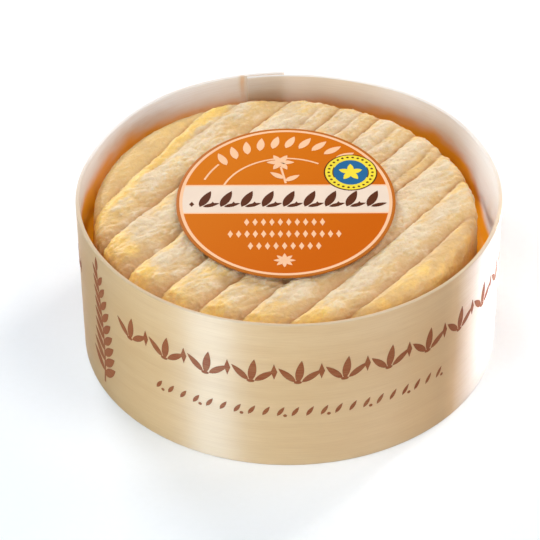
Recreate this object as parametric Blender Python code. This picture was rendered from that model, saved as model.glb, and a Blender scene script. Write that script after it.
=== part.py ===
"""A soft washed-rind cheese with a ridged top and an oval paper label, resting in its open round veneer box."""

import math

import bmesh
import bpy
from mathutils import Matrix, Vector

COLLECTION_NAME = "ridged_cheese_in_box"

# Lengths are in millimetres and angles in degrees from +X. The box's axis is Z and its foot stands on z = 0.
MM = 0.001
GAP = 0.3

OUTER_RADIUS = 50.0
WALL_HEIGHT = 41.4
VENEER = 1.0
VENEER_ROUNDING = 0.28

# The strip is rolled anticlockwise from its outer end. Its last stretch tucks in behind that end.
OUTER_END = 91.3
LAP = 11.1
LAP_GAP = 0.15
TUCK_FROM = 50.0
TUCK_TO = 76.0
CLEAR_FROM = 104.0
CLEAR_TO = 114.0
STRIP_STEPS = 124

# Where the sprung veneer stands out of round: angle, amount and half width.
SPRING = ((125.0, 0.5, 20.0), (42.0, 0.4, 14.0), (160.0, -0.3, 14.0))

BASE_RECESS = 2.8
BASE_THICKNESS = 1.8
BASE_STEPS = 120

CHEESE_RADIUS = 45.2
CHEESE_CENTRE = (-1.15, -0.3)
CHEESE_BOTTOM = BASE_RECESS + BASE_THICKNESS + GAP
CREST_HEIGHT = 38.7
SHOULDER_RADIUS = 4.0
HEEL_RADIUS = 5.0
SIDE_BULGE = 0.4
TOP_FLAT = CHEESE_RADIUS - SIDE_BULGE - SHOULDER_RADIUS
CHEESE_STEPS = 160
TOP_RING_RADII = (7.0, 14.0, 19.5, 23.5, 26.0, 28.0, 29.8, 31.5, 33.2, 34.9, 36.5, 38.0, 39.5)
SHOULDER_STEPS = 5
SIDE_STEPS = 5
HEEL_STEPS = 3

# Where the soft cheese stands out of round in plan: angle, amount and half width.
SLUMP = ((5.0, 0.75, 24.0), (64.0, -0.8, 24.0), (175.0, 0.35, 30.0))

# The rolls of rind run this way across the top, and the grooves between them are placed across it.
RIDGE_DIRECTION = 53.0
RELIEF_FADE_FROM = 20.0
RELIEF_FADE_TO = 33.0
SIDE_RELIEF = 0.3

# The grooves flatten out towards the far end of the rolls.
FAR_END_FROM = 0.0
FAR_END_TO = 25.0
EDGE_FROM = 33.0
EDGE_TO = 42.0
FAR_END_LOSS = 0.55

# Each groove: offset from the box's axis, lean, depth, width of its shaded and of its lit flank,
# and where along its length it starts.
WHOLE = -60.0
GROOVES = (
    (-36.5, -0.106, 1.6, 3.4, 1.5, WHOLE),
    (-34.3, -0.030, 0.7, 1.6, 1.6, -12.0),
    (-24.6, 0.000, 1.9, 4.2, 1.7, WHOLE),
    (-16.8, 0.000, 0.7, 1.6, 1.4, 12.0),
    (-12.9, 0.000, 1.8, 4.0, 1.7, WHOLE),
    (-7.2, 0.000, 0.8, 1.6, 1.4, 8.0),
    (-2.4, -0.008, 1.8, 4.0, 1.7, WHOLE),
    (2.6, 0.000, 0.7, 1.6, 1.4, 6.0),
    (8.4, 0.000, 1.9, 4.0, 1.7, WHOLE),
    (14.3, 0.000, 0.8, 1.6, 1.4, 2.0),
    (18.4, 0.017, 1.9, 4.0, 1.7, WHOLE),
    (28.4, 0.010, 1.9, 4.0, 1.7, WHOLE),
    (37.2, 0.020, 1.6, 3.4, 1.6, WHOLE),
)
GROOVE_FADE = 8.0
GROOVE_SHARPNESS = 1.35

LABEL_HALF_WIDTH = 25.7
LABEL_HALF_DEPTH = 29.1
LABEL_CENTRE = (-0.7, -1.1)
LABEL_THICKNESS = 0.5
LABEL_EDGE = 0.12
LABEL_STEPS = 96

STAPLE_ANGLE = 97.4
STAPLE_SPAN = 7.6
STAPLE_WIRE_HEIGHT = 1.2
STAPLE_WIRE_THICKNESS = 0.45
STAPLE_EDGE = 0.12
STAPLE_STEPS = 8
STAPLE_HEIGHTS = (("staple_upper", 35.6), ("staple_lower", 7.6))


def smoothstep(value, start, end):
    """0 before start and 1 after end, with an even curve between them."""
    share = min(max((value - start) / (end - start), 0.0), 1.0)
    return share * share * (3.0 - 2.0 * share)


def turn_between(angle, centre):
    """The turn from centre to angle, from -180 to 180 degrees."""
    return (angle - centre + 180.0) % 360.0 - 180.0


def out_of_round(angle, swellings):
    """How far swellings, each an angle, amount and half width, stand out of a circle at this angle."""
    return sum(
        amount * math.exp(-((turn_between(angle, centre) / half_width) ** 2))
        for centre, amount, half_width in swellings
    )


def strip_radius(running_angle):
    """Outer radius of the strip, whose running angle goes past a full turn where its end tucks in."""
    tuck = smoothstep(running_angle - 360.0, TUCK_FROM, TUCK_TO)
    return OUTER_RADIUS + out_of_round(running_angle, SPRING) - (VENEER + LAP_GAP) * tuck


def inside_radius(angle):
    """Radius that is free inside the wall, eased round the step of the strip's inner end."""
    angle %= 360.0
    tuck = smoothstep(angle, TUCK_FROM, TUCK_TO) - smoothstep(angle, CLEAR_FROM, CLEAR_TO)
    return OUTER_RADIUS + out_of_round(angle, SPRING) - VENEER - (VENEER + LAP_GAP) * tuck


def on_circle(radius, angle, height):
    turn = math.radians(angle)
    return Vector((radius * math.cos(turn), radius * math.sin(turn), height))


def add_object(name, bm, collection, material, sharp_angle):
    """Turns a bmesh in millimetres into a smooth-shaded object in metres."""
    bmesh.ops.transform(bm, matrix=Matrix.Scale(MM, 4), verts=bm.verts)
    bmesh.ops.recalc_face_normals(bm, faces=bm.faces)
    mesh = bpy.data.meshes.new(name)
    bm.to_mesh(mesh)
    bm.free()
    mesh.materials.append(material)
    mesh.shade_smooth()
    mesh.set_sharp_from_angle(angle=math.radians(sharp_angle))
    obj = bpy.data.objects.new(name, mesh)
    collection.objects.link(obj)
    return obj


def plain_material(name, colour, roughness, metallic=0.0):
    material = bpy.data.materials.new(name)
    material.use_nodes = True
    shader = material.node_tree.nodes["Principled BSDF"]
    shader.inputs["Base Color"].default_value = (*colour, 1.0)
    shader.inputs["Roughness"].default_value = roughness
    shader.inputs["Metallic"].default_value = metallic
    return material


def bar(length, thickness, height, rounding, steps):
    """A straight bar along X with rounded edges, cut into equal steps so that it can be rolled round."""
    bm = bmesh.new()
    bmesh.ops.create_cube(bm, size=1.0)
    bmesh.ops.scale(bm, vec=(length, thickness, height), verts=bm.verts)
    bmesh.ops.bevel(
        bm, geom=bm.edges[:], offset=rounding, segments=2, profile=0.5, affect="EDGES"
    )
    for step in range(1, steps):
        bmesh.ops.bisect_plane(
            bm,
            geom=bm.verts[:] + bm.edges[:] + bm.faces[:],
            plane_co=(length * (step / steps - 0.5), 0.0, 0.0),
            plane_no=(1.0, 0.0, 0.0),
        )
    return bm


def make_wall(collection, wood):
    """One strip of veneer rolled into a round wall, its far end tucked in behind its near end."""
    length = math.tau * OUTER_RADIUS * (360.0 + LAP) / 360.0
    bm = bar(length, VENEER, WALL_HEIGHT, VENEER_ROUNDING, STRIP_STEPS)
    for vert in bm.verts:
        along, across, up = vert.co
        running_angle = OUTER_END + (along / length + 0.5) * (360.0 + LAP)
        radius = strip_radius(running_angle) - VENEER / 2 + across
        vert.co = on_circle(radius, running_angle, up + WALL_HEIGHT / 2)
    return add_object("box_wall", bm, collection, wood, 40.0)


def make_base(collection, wood):
    """The disc of veneer that closes the box, let in above the wall's foot."""
    bm = bmesh.new()
    bmesh.ops.create_cone(
        bm, cap_ends=True, segments=BASE_STEPS, radius1=1.0, radius2=1.0, depth=BASE_THICKNESS
    )
    for vert in bm.verts:
        angle = math.degrees(math.atan2(vert.co.y, vert.co.x))
        height = vert.co.z + BASE_RECESS + BASE_THICKNESS / 2
        vert.co = on_circle(inside_radius(angle) - GAP, angle, height)
    return add_object("box_base", bm, collection, wood, 40.0)


def arc_points(centre, radius, start, end, steps):
    """Points on an arc of the profile, as distance from the axis and height."""
    for step in range(1, steps + 1):
        turn = math.radians(start + (end - start) * step / steps)
        yield centre[0] + radius * math.cos(turn), centre[1] + radius * math.sin(turn)


def cheese_profile():
    """Half of the cheese's section, from the middle of its top down to the middle of its bottom."""
    side_radius = CHEESE_RADIUS - SIDE_BULGE
    shoulder_height = CREST_HEIGHT - SHOULDER_RADIUS
    heel_height = CHEESE_BOTTOM + HEEL_RADIUS
    points = [(0.0, CREST_HEIGHT)]
    points += [(radius, CREST_HEIGHT) for radius in TOP_RING_RADII]
    points.append((TOP_FLAT, CREST_HEIGHT))
    points += arc_points((TOP_FLAT, shoulder_height), SHOULDER_RADIUS, 90.0, 0.0, SHOULDER_STEPS)
    for step in range(1, SIDE_STEPS + 1):
        share = step / SIDE_STEPS
        height = shoulder_height + (heel_height - shoulder_height) * share
        points.append((side_radius + SIDE_BULGE * math.sin(math.pi * share), height))
    heel_centre = (side_radius - HEEL_RADIUS, heel_height)
    points += arc_points(heel_centre, HEEL_RADIUS, 0.0, -90.0, HEEL_STEPS)
    points.append((0.0, CHEESE_BOTTOM))
    return points


def groove_depth(x, y):
    """How far the rind lies below its crests at this place in plan."""
    turn = math.radians(RIDGE_DIRECTION)
    across = x * math.sin(turn) - y * math.cos(turn)
    along = x * math.cos(turn) + y * math.sin(turn)
    depth = 0.0
    for offset, lean, deepest, shaded, lit, start in GROOVES:
        distance = across - offset - lean * along
        width = lit if distance > 0.0 else shaded
        reach = smoothstep(along, start - GROOVE_FADE, start + GROOVE_FADE)
        depth += deepest * reach * math.exp(-((abs(distance) / width) ** GROOVE_SHARPNESS))
    far_end = smoothstep(along, FAR_END_FROM, FAR_END_TO)
    edge = smoothstep(math.hypot(x, y), EDGE_FROM, EDGE_TO)
    return depth * (1.0 - FAR_END_LOSS * far_end * edge)


def settle(bm):
    """Lets the turned cheese slump a little out of round, in its place off the box's axis."""
    for vert in bm.verts:
        x, y, z = vert.co
        angle = math.degrees(math.atan2(y, x))
        share = math.hypot(x, y) / CHEESE_RADIUS
        spread = 1.0 + out_of_round(angle, SLUMP) * share / CHEESE_RADIUS
        vert.co = (x * spread + CHEESE_CENTRE[0], y * spread + CHEESE_CENTRE[1], z)


def press_grooves(bm):
    """Sinks the grooves into the top and lets them run out, much shallower, down the side."""
    shoulder_height = CREST_HEIGHT - SHOULDER_RADIUS
    for vert in bm.verts:
        x, y, z = vert.co
        from_middle = Vector((x - CHEESE_CENTRE[0], y - CHEESE_CENTRE[1]))
        outward = max(from_middle.length - TOP_FLAT, 0.0)
        upward = max(z - shoulder_height, 0.0)
        slant = math.hypot(outward, upward)
        fade = smoothstep(z, RELIEF_FADE_FROM, RELIEF_FADE_TO)
        if fade == 0.0 or slant == 0.0:
            continue
        steepness = outward / slant
        flatness = upward / slant
        depth = groove_depth(x, y) * fade
        depth *= SIDE_RELIEF + (1.0 - SIDE_RELIEF) * flatness
        inward = from_middle.normalized() * depth * steepness
        vert.co = (x - inward.x, y - inward.y, z - depth * flatness)


def make_cheese(collection, rind):
    """A turned disc of soft cheese with round shoulders and a ridged rind."""
    profile = bmesh.new()
    verts = [profile.verts.new((radius, 0.0, height)) for radius, height in cheese_profile()]
    for first, second in zip(verts, verts[1:]):
        profile.edges.new((first, second))
    bmesh.ops.spin(
        profile,
        geom=profile.verts[:] + profile.edges[:],
        axis=(0.0, 0.0, 1.0),
        angle=math.tau,
        steps=CHEESE_STEPS,
        use_merge=True,
    )
    bmesh.ops.remove_doubles(profile, verts=profile.verts, dist=0.001)
    settle(profile)
    press_grooves(profile)
    return add_object("cheese", profile, collection, rind, 70.0)


def make_label(collection, card):
    """The oval paper label, lying across the crests of the rind."""
    bm = bmesh.new()
    bmesh.ops.create_cone(
        bm, cap_ends=True, segments=LABEL_STEPS, radius1=1.0, radius2=1.0, depth=LABEL_THICKNESS
    )
    bmesh.ops.scale(bm, vec=(LABEL_HALF_WIDTH, LABEL_HALF_DEPTH, 1.0), verts=bm.verts)
    rims = [edge for edge in bm.edges if edge.verts[0].co.z * edge.verts[1].co.z > 0.0]
    bmesh.ops.bevel(bm, geom=rims, offset=LABEL_EDGE, segments=1, affect="EDGES")
    height = CREST_HEIGHT + GAP + LABEL_THICKNESS / 2
    bmesh.ops.translate(bm, vec=(*LABEL_CENTRE, height), verts=bm.verts)
    return add_object("label", bm, collection, card, 30.0)


def make_staple(name, height, collection, wire):
    """The flat crown of a staple that holds the two layers of veneer together at the lap."""
    thickness = STAPLE_WIRE_THICKNESS
    length = math.radians(STAPLE_SPAN) * OUTER_RADIUS
    bm = bar(length, thickness, STAPLE_WIRE_HEIGHT, STAPLE_EDGE, STAPLE_STEPS)
    for vert in bm.verts:
        along, across, up = vert.co
        angle = STAPLE_ANGLE + along / length * STAPLE_SPAN
        radius = strip_radius(angle) + GAP + thickness / 2 + across
        vert.co = on_circle(radius, angle, up + height)
    return add_object(name, bm, collection, wire, 40.0)


def main():
    for old in list(bpy.data.objects):
        bpy.data.objects.remove(old, do_unlink=True)
    collection = bpy.data.collections.new(COLLECTION_NAME)
    bpy.context.scene.collection.children.link(collection)

    veneer = plain_material("poplar_veneer", (0.70, 0.50, 0.31), 0.65)
    rind = plain_material("washed_rind", (0.80, 0.55, 0.24), 0.55)
    card = plain_material("label_paper", (0.66, 0.17, 0.01), 0.45)
    wire = plain_material("staple_wire", (0.55, 0.55, 0.56), 0.35, 1.0)

    make_wall(collection, veneer)
    make_base(collection, veneer)
    make_cheese(collection, rind)
    make_label(collection, card)
    for name, height in STAPLE_HEIGHTS:
        make_staple(name, height, collection, wire)


main()
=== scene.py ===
"""Dresses a ridged soft cheese in its open veneer box: rind, veneer, print, label, staples and studio."""

import math

import bpy
import numpy as np
from bpy.props import FloatProperty, FloatVectorProperty, PointerProperty
from mathutils import Matrix, Vector, noise


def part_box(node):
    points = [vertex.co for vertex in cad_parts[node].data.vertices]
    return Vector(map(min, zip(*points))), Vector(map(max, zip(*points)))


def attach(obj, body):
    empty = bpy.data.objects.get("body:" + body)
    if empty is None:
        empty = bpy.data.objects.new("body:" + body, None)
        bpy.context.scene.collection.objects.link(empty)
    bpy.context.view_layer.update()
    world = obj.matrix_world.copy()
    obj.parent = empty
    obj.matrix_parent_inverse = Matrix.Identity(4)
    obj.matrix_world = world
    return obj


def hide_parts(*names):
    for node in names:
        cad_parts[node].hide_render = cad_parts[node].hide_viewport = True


bl_info = {
    "name": "Ridged Cheese in a Veneer Box",
    "version": (1, 0, 0),
    "blender": (4, 5, 0),
    "location": "3D View > Sidebar > Cheese Box",
    "description": "Adds a ridged soft cheese with its label in an open round veneer box",
    "category": "Add Mesh",
}

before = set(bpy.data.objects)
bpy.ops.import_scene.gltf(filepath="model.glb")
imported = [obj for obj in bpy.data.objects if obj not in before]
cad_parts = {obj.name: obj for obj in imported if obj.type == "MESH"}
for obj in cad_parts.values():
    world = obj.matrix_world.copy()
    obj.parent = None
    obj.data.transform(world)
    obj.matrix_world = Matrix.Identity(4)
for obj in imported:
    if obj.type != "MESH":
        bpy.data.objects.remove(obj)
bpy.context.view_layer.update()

# Lengths are in millimetres and angles in degrees from +X, but a property holds its length in metres.
MM = 0.001

WALL_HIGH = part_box("box_wall")[1] / MM
BASE_LOW, BASE_HIGH = (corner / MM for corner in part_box("box_base"))
CHEESE_LOW, CHEESE_HIGH = (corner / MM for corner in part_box("cheese"))
LABEL_LOW, LABEL_HIGH = (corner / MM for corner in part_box("label"))

# The noise that shapes the surfaces: how far each seed shifts it, how fast its finer octaves fall off, and
# how much finer each is than the last.
SEED_STEP = 7.31
FALL_OFF = 0.9
OCTAVE_RATIO = 2.1

# The strip of veneer is rolled anticlockwise from its outer end, and its inner end tucks in behind that,
# between the two angles of TUCK.
PRINT_ROOM = 0.08
OUTER_RADIUS = WALL_HIGH.x - PRINT_ROOM
WALL_HEIGHT = WALL_HIGH.z
OUTER_END = 91.3
LAP = 11.1
LAP_GAP = 0.15
TUCK = (50.0, 76.0)
STRIP_LENGTH = math.tau * OUTER_RADIUS * (360.0 + LAP) / 360.0
STRIP_STEPS = 560
HEIGHT_STEPS = 24

# Where the wall springs out of a true circle: angle, amount and half width.
SPRING = ((125.0, 0.5, 20.0), (42.0, 0.4, 14.0), (160.0, -0.3, 14.0))

# How much light the veneer lets through all round.
TRANSLUCENCE = 0.14

# Where the wall differs, each as degrees from the front, amount and half width: where it lets more light
# through, how much lower the damp stain with its painted shade begins inside, where the inner face is
# paler with painted light, and where shade is painted on the outside.
THINNER = (
    (-100.0, 0.37, 26.0),
    (-150.0, 0.2, 18.0),
    (-178.0, 0.15, 18.0),
    (103.0, 0.48, 21.0),
    (142.0, 0.2, 18.0),
)
DAMP_AND_SHADE_LOWER = ((-98.0, -1.0, 14.0), (-120.0, -1.4, 14.0), (-165.0, 1.0, 24.0), (98.0, 12.0, 15.0))
PAINTED_LIGHT_INSIDE = ((-130.0, 0.85, 36.0), (142.0, 0.25, 10.0), (104.0, 0.6, 24.0))
PAINTED_SHADE_OUTSIDE = ((-70.0, 0.5, 26.0), (45.0, 0.15, 6.0))

# The damp stain with its painted shade begins this far below the rim and deepens over this height, and a
# painted shadow lies beside the strip's inner end. A painted highlight covers the outside between these two
# zones, in degrees from the front. The colour of sawn wood comes in from the first to the second of these
# distances from an edge.
DAMP_AND_SHADE_START = 1.5
DAMP_AND_SHADE_DEPTH = 8.0
LAP_PAINTED_SHADOW = (-166.4, 1.1)
PAINTED_HIGHLIGHT_FROM = (42.0, 64.0)
PAINTED_HIGHLIGHT_TO = (95.0, 125.0)
SAWN_FROM, SAWN_TO = 0.2, 0.02

# The rolls of rind run this way across the top, and the grooves between them are placed across it.
RIDGE_DIRECTION = 53.0
CHEESE_RADIUS = 45.2
CHEESE_CENTRE = (-1.15, -0.3)
CHEESE_BOTTOM = CHEESE_LOW.z
CREST = CHEESE_HIGH.z
SHOULDER_RADIUS = 4.0
HEEL_RADIUS = 5.0
SIDE_BULGE = 0.4
TOP_FLAT = CHEESE_RADIUS - SIDE_BULGE - SHOULDER_RADIUS
CHEESE_STEPS = 720

# Where the soft cheese stands out of round in plan: angle, amount and half width.
SLUMP = ((5.0, 0.75, 24.0), (64.0, -0.8, 24.0), (175.0, 0.35, 30.0))

# The grooves fade in with height and are shallower on the side, and the small folds begin above the heel.
# Near the edge, the grooves flatten towards the far end of the rolls.
RELIEF_FADE = (20.0, 33.0)
SIDE_RELIEF = 0.3
FOLDS_FROM = (CHEESE_BOTTOM + 3.0, CHEESE_BOTTOM + 9.0)
FAR_END = (0.0, 25.0)
FAR_EDGE = (33.0, 42.0)
FAR_END_LOSS = 0.55

# Zones of the rind, each from where it begins to where it is full: clear of the label and at the edge of the
# top, by distance from the middle, at the far and near ends of the rolls, and above the side, by height.
CLEAR_OF_LABEL = (24.0, 29.0)
TOP_EDGE = (34.0, 43.0)
FAR_ZONE = (4.0, 24.0)
NEAR_ZONE = (22.0, 38.0)
ABOVE_SIDE = (30.0, 36.5)

# Each groove: offset from the axis, lean, depth, width of its shaded and of its lit flank, and start.
WHOLE = -60.0
GROOVES = (
    (-37.4, -0.106, 1.1, 2.8, 0.9, WHOLE),
    (-34.0, -0.030, 0.6, 1.4, 0.8, -12.0),
    (-25.1, 0.000, 1.4, 3.4, 0.9, WHOLE),
    (-17.1, 0.000, 0.5, 1.4, 0.8, 12.0),
    (-13.1, 0.004, 1.3, 3.2, 0.9, WHOLE),
    (-7.7, 0.000, 0.6, 1.4, 0.8, 8.0),
    (-2.9, -0.002, 1.3, 3.2, 0.9, WHOLE),
    (2.8, 0.000, 0.5, 1.4, 0.8, 6.0),
    (7.7, 0.006, 1.4, 3.2, 0.9, WHOLE),
    (14.8, 0.000, 0.6, 1.4, 0.8, 2.0),
    (17.5, 0.012, 1.4, 3.2, 0.9, WHOLE),
    (27.3, 0.018, 1.4, 3.4, 0.9, WHOLE),
    (37.0, 0.015, 1.2, 2.8, 0.9, WHOLE),
)
DEEPEST = 1.4
GROOVE_FADE = 8.0
GROOVE_SHARPNESS = 1.25

# The crease along the bottom of a groove, with its half width on the lit and on the shaded side.
CREASE_DEPTH = 0.45
CREASE_WIDTHS = (0.3, 0.65)

# How far across its roll, from 0 to 1, these lie: the crest, the flank before it and the bright crest of the
# roll next to the first (middle and half width), and the shade's beginning and deepening (start and end).
CREST_PHASE = (0.36, 0.33)
NEAR_FLANK_PHASE = (0.13, 0.16)
BRIGHT_CREST_PHASE = (0.14, 0.12)
SHADE_PHASE = (0.3, 0.7)
DEEP_SHADE_PHASE = (0.68, 0.97)

# The small folds run at a slant to the rolls, whose angle has this cosine and sine, and stand up no more
# than this.
FOLD_COS, FOLD_SIN = 0.956, 0.292
HIGHEST_FOLD = 0.25

# The last roll begins this far across and is plainer, like the first. No roll reaches as far as the second.
LAST_ROLL = 37.0
BEYOND_ROLLS = 50.0

# The label lies across the crests. Its cream band has a peach line above and below, and these are the
# edges of the two lines and the band, up from the label's middle.
LABEL_CENTRE = ((LABEL_LOW.x + LABEL_HIGH.x) / 2, (LABEL_LOW.y + LABEL_HIGH.y) / 2)
LABEL_HALF = ((LABEL_HIGH.x - LABEL_LOW.x) / 2, (LABEL_HIGH.y - LABEL_LOW.y) / 2)
LABEL_RISE = 0.25
LABEL_TOP = LABEL_LOW.z + LABEL_RISE
LINE_TOP, BAND_TOP, BAND_FOOT, LINE_FOOT = 5.93, 5.5, -4.84, -5.27

# Ink is this thick, and copies of a shape lie at five heights this far apart.
INK = 0.02
LAYER_STEP = 0.004
LAYERS = 5

# The seal's place on the label, its half sizes, the widths of its rings from the outside in, and how far it
# and the ink on it stand above the label.
SEAL_OFFSET = (15.4, 10.8)
SEAL_HALF = (6.35, 7.2)
SEAL_RINGS = (0.3, 1.7, 0.25)
SEAL_LIFT = 0.06
SEAL_INK_LIFT = 0.065

# The print on the wall: how high each row is above the foot, where it begins, in degrees round from the
# front, and where the sprig stands, how high its foot and its stem are, and how the stem bends.
FRIEZE_HEIGHT = 28.05
FRIEZE_START = -46.5
BORDER_HEIGHT = 16.4
BORDER_START = -36.5
SPRIG_AT = -60.5
SPRIG_FOOT = 3.6
SPRIG_HEIGHT = 33.0
SPRIG_SWAY = 0.9
SPRIG_BENDS = 4.4

# The staples: where they are round the box, the width of one, its wire's height and thickness, and how
# high each is on the wall.
STAPLE_ANGLE = 97.4
STAPLE_SPAN = 6.6
STAPLE_WIRE = (1.2, 0.45)
STAPLE_HEIGHTS = (("staple_upper", 35.6), ("staple_lower", 7.6))

# The lights: degrees round from the front, degrees up, distance, width and height in metres, watts and tint.
# One with a narrow beam has also its spread in degrees and the point in millimetres that it is aimed at, and
# it adds no shine.
BOX_MIDDLE = (0.0, 0.0, 30.0)
FULL_SPREAD = 180.0
LIGHTS = (
    ("front", 5.0, 38.0, 1.2, 1.0, 0.6, 2.65, "#f6f9ff"),
    ("left_high", -60.0, 60.0, 0.8, 0.3, 0.3, 1.75, "#fbfcff"),
    ("right_high", 62.0, 58.0, 0.8, 0.3, 0.3, 1.75, "#fffaf4"),
    ("right_low", 110.0, 20.0, 0.8, 0.3, 0.3, 1.9, "#e6f0ff"),
    ("left_strip", -37.0, 15.0, 0.7, 0.26, 0.35, 3.7, "#c8e9ff"),
    ("right_back", 137.0, 32.0, 0.8, 0.2, 0.3, 2.6, "#fffdfa"),
    ("left_back", -155.0, 20.0, 0.8, 0.3, 0.3, 4.7, "#f4f8ff"),
    ("right_edge", 128.0, -2.5, 0.28, 0.02, 0.05, 0.024, "#f4f8ff", 14.0, (46.0, -19.0, 20.0)),
)

# The camera's place in metres and its turns.
CAMERA_AT = (0.0, -0.45175, 0.3754)
CAMERA_PITCH = 38.39
CAMERA_YAW = -0.58
CAMERA_ROLL = -0.55
CAMERA_LENS = 159.99


def srgb(code):
    """A colour written as sRGB hex, as linear light."""
    shares = [int(code[place:place + 2], 16) / 255 for place in (1, 3, 5)]
    return tuple(s / 12.92 if s <= 0.04045 else ((s + 0.055) / 1.055) ** 2.4 for s in shares)


def length_property(name, description, default):
    return FloatProperty(name=name, description=description, default=default * MM, unit="LENGTH", precision=5)


def colour_property(name, description, code):
    return FloatVectorProperty(
        name=name,
        description=description,
        default=(*srgb(code), 1.0),
        subtype="COLOR",
        size=4,
        min=0.0,
        max=1.0,
    )


class VeneerSettings(bpy.types.PropertyGroup):
    """Sizes and colours of the veneer box."""

    thickness: length_property("Thickness", "Thickness of the peeled veneer", 0.95)
    rounding: length_property("Edge rounding", "Radius of the worn edge of the veneer", 0.26)
    dip: length_property("Uneven rim", "How far the sawn rim dips", 0.16)
    waviness: length_property("Waviness", "How far the wall stands out of true", 0.14)
    pale: colour_property("Pale wood", "Colour of the pale wood", "#ecc48d")
    dark: colour_property("Dark wood", "Colour of the fibres and the darker bands", "#d4a366")
    # The paler inner face with its painted light is mixed towards this colour.
    inside: colour_property("Inside", "Colour of the fresh inner face", "#fffcf8")
    cut: colour_property("Cut edge", "Colour of the sawn rim at the front", "#dcc09c")
    # These two colours give the damp stain, with painted shade and painted orange bounce light near the
    # cheese.
    stain_and_shade: colour_property("Stain", "Colour where the damp wood begins", "#dfb587")
    damp_and_shade: colour_property("Damp wood", "Colour of the inside where the cheese keeps it damp", "#f2a21e")
    # Painted shade on the outside.
    outer_painted_shade: colour_property("Weathered", "Colour of the outside where it has darkened a little", "#a98458")
    glow: colour_property("Glow", "Colour of the light that comes through the wood", "#f9f6f2")
    ink: colour_property("Print", "Brown ink on the outside", "#8b4524")


class RindSettings(bpy.types.PropertyGroup):
    """Relief and colours of the washed rind."""

    wrinkle: length_property("Wrinkles", "Height of the small folds of the rind", 0.34)
    wander: length_property("Wander", "How far the grooves stray from a straight line", 0.5)
    base: colour_property("Rind", "Colour of the plain rind", "#edc57c")
    bloom: colour_property("Bloom", "Colour of the dusty bloom on the crests", "#e3ccaa")
    gold: colour_property("Golden patches", "Colour where the bloom is washed off", "#fccf68")
    # Painted shade: this colour darkens the far flank of each roll, which is partly bare rind, and the
    # hollows between folds. The mould specks use it too.
    shade: colour_property("Flanks", "Colour of the bare far side of each roll", "#c89d69")
    # The groove colour is partly the moist rind and partly painted shade in the crease.
    amber: colour_property("Grooves", "Colour of the moist rind in the grooves", "#b87d40")
    side: colour_property("Side", "Colour of the side of the cheese", "#edbc78")


class LabelSettings(bpy.types.PropertyGroup):
    """Sizes and colours of the printed label."""

    thickness: length_property("Thickness", "Thickness of the label", 0.3)
    line: length_property("Line width", "Width of the printed rings", 0.75)
    orange_light: colour_property("Orange, upper left", "Orange field at its lightest", "#ce6f06")
    orange_deep: colour_property("Orange, lower right", "Orange field at its deepest", "#c45b00")
    cream: colour_property("Cream", "Band across the middle", "#e8d0ba")
    peach: colour_property("Peach", "Rings and ornaments", "#f3bf95")
    edge: colour_property("Outer edge", "Line round the outside", "#b9661f")
    brown: colour_property("Brown", "Ornaments on the cream band", "#5a2d18")
    seal_gold: colour_property("Seal", "Ground of the round seal", "#ecd23a")
    seal_blue: colour_property("Seal middle", "Middle of the round seal", "#25628f")


class StudioSettings(bpy.types.PropertyGroup):
    """Brightness of the studio."""

    surround: FloatProperty(name="Surround", description="Strength of the surround", default=0.03, min=0.0)
    lights: FloatProperty(name="Lights", description="Scales every light", default=1.0, min=0.0)


class CheeseBoxSettings(bpy.types.PropertyGroup):
    """All that can be set on the cheese and its box."""

    veneer: PointerProperty(type=VeneerSettings, name="Veneer", description="The box")
    rind: PointerProperty(type=RindSettings, name="Rind", description="The cheese")
    label: PointerProperty(type=LabelSettings, name="Label", description="The label")
    studio: PointerProperty(type=StudioSettings, name="Studio", description="Floor and lights")


def smoothstep(value, start, end):
    """0 before start and 1 after end, with an even curve between them."""
    share = np.clip((value - start) / (end - start), 0.0, 1.0)
    return share * share * (3.0 - 2.0 * share)


def hump(value, centre, half_width):
    """1 at the centre, falling away evenly on both sides."""
    return np.exp(-(((value - centre) / half_width) ** 2))


def points_of(obj):
    """The mesh's points in millimetres, one row each."""
    flat = np.empty(len(obj.data.vertices) * 3)
    obj.data.vertices.foreach_get("co", flat)
    return flat.reshape(-1, 3) / MM


def set_points(obj, points):
    obj.data.vertices.foreach_set("co", (np.asarray(points) * MM).ravel())
    obj.data.update()


def swell(points, sizes, seed, octaves=2):
    """Soft noise from about -1 to 1 at each point, with swells of these sizes in millimetres."""
    scaled = points / np.asarray(sizes) + seed * SEED_STEP
    return np.array([noise.fractal(Vector(point), FALL_OFF, OCTAVE_RATIO, octaves) for point in scaled])


def swellings_at(angle, swellings):
    """What swellings, each an angle, amount and half width, add up to at this angle."""
    return sum(
        amount * hump((angle - centre + 180.0) % 360.0 - 180.0, 0.0, half_width)
        for centre, amount, half_width in swellings
    )


def strip_radius(running_angle, veneer):
    """Outer radius of the strip, whose running angle goes past a full turn where its end tucks in."""
    tuck = smoothstep(running_angle - 360.0, *TUCK)
    return OUTER_RADIUS + swellings_at(running_angle, SPRING) - (veneer + LAP_GAP) * tuck


def roll_round(points):
    """Rolls points of the flat strip (along it, up from its foot, out from its outer face) round the box."""
    look = bpy.context.scene.cheese_box.veneer
    along, up, out = points.T
    running_angle = OUTER_END + (along / STRIP_LENGTH + 0.5) * (360.0 + LAP)
    flat = np.column_stack((along, up, np.zeros_like(up)))
    waves = (swell(flat, (34.0, 30.0, 1.0), 3) - 1.0) / 2
    radius = strip_radius(running_angle, look.thickness / MM) + waves * look.waviness / MM + out
    turn = np.radians(running_angle)
    return np.column_stack((radius * np.cos(turn), radius * np.sin(turn), up))


def along_at(front_angle):
    """How far along the strip it passes this many degrees round from the front."""
    running_angle = (270.0 + front_angle - OUTER_END) % 360.0
    return (running_angle / (360.0 + LAP) - 0.5) * STRIP_LENGTH


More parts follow.
